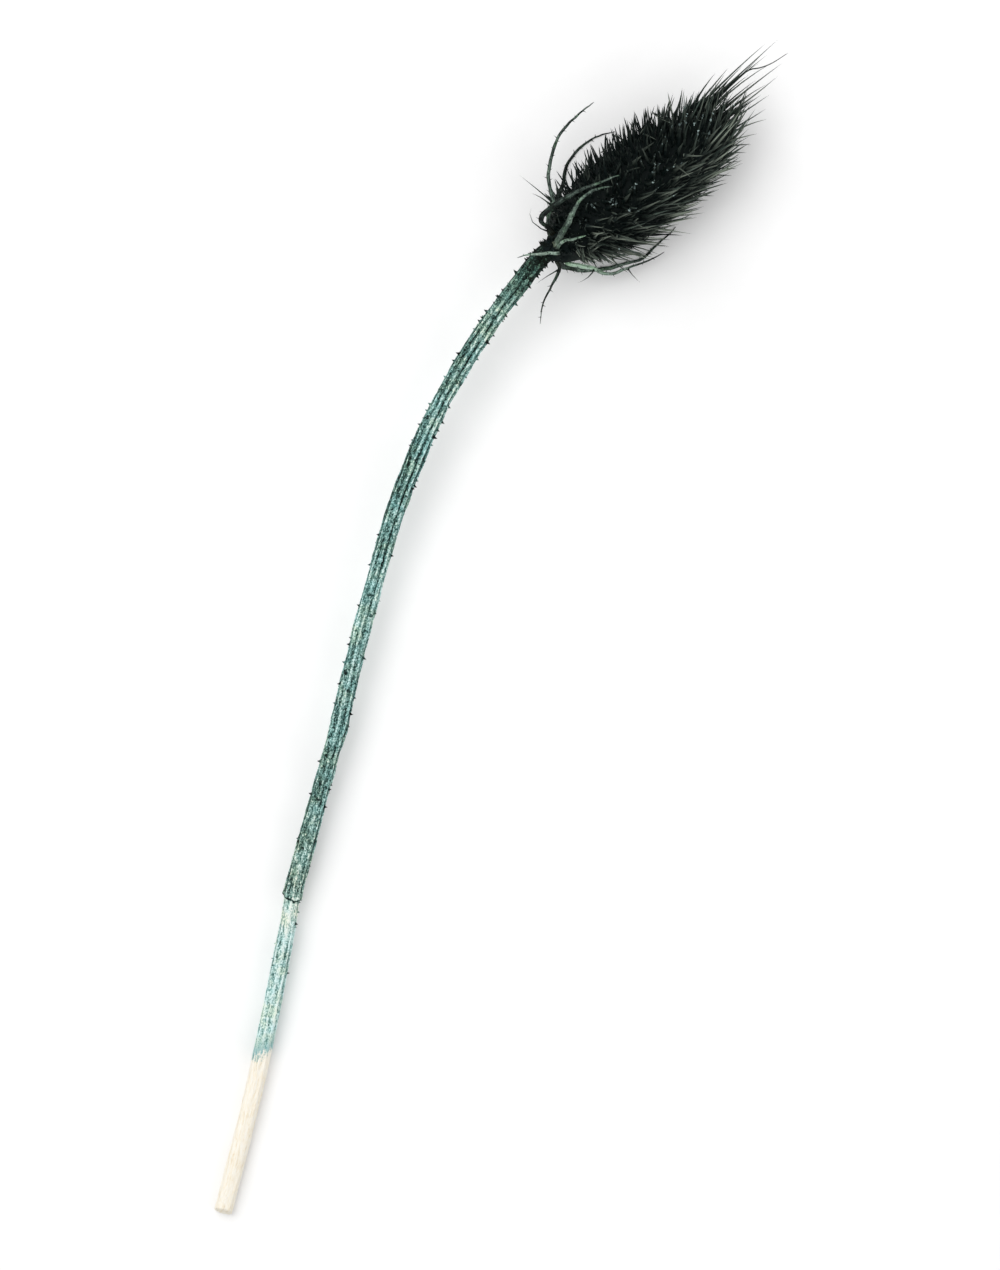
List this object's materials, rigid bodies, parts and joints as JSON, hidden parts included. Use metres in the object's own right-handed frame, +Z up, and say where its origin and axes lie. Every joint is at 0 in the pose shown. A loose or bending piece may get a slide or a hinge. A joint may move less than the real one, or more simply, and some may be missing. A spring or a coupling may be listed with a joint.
{
  "type": "dried teasel thistle head on a cut stem",
  "caption": "Dyed dried teasel head, a thistle-like seed head with stiff spines, a tip tuft and a ring of thin curved bracts, lying on its ribbed, prickly cut stem.",
  "frame": {"origin": "on the surface the teasel lies on, under the middle of its bounding box", "axes": "+Z up from the surface, +Y from the cut end of the stem towards the head, +X to the side the head leans to"},
  "size_m": [0.1624, 0.3346, 0.0355],
  "materials": {
    "stem": "matt dyed stem, teal with dark streaks, undyed cream at the cut end",
    "head": "matt black dye with a green cast, paler at the spine tips",
    "bract": "matt grey-green dye over dry leaf"
  },
  "bodies": {
    "root": {"stem": "stem", "head": "head", "bract_left_long": "bract", "bract_left_resting": "bract", "bract_top_left": "bract", "bract_top_broad": "bract", "bract_top_short": "bract", "bract_bent_back": "bract", "bract_right_pale": "bract", "bract_right_resting": "bract", "bract_right_thin": "bract"}
  },
  "joints": []
}
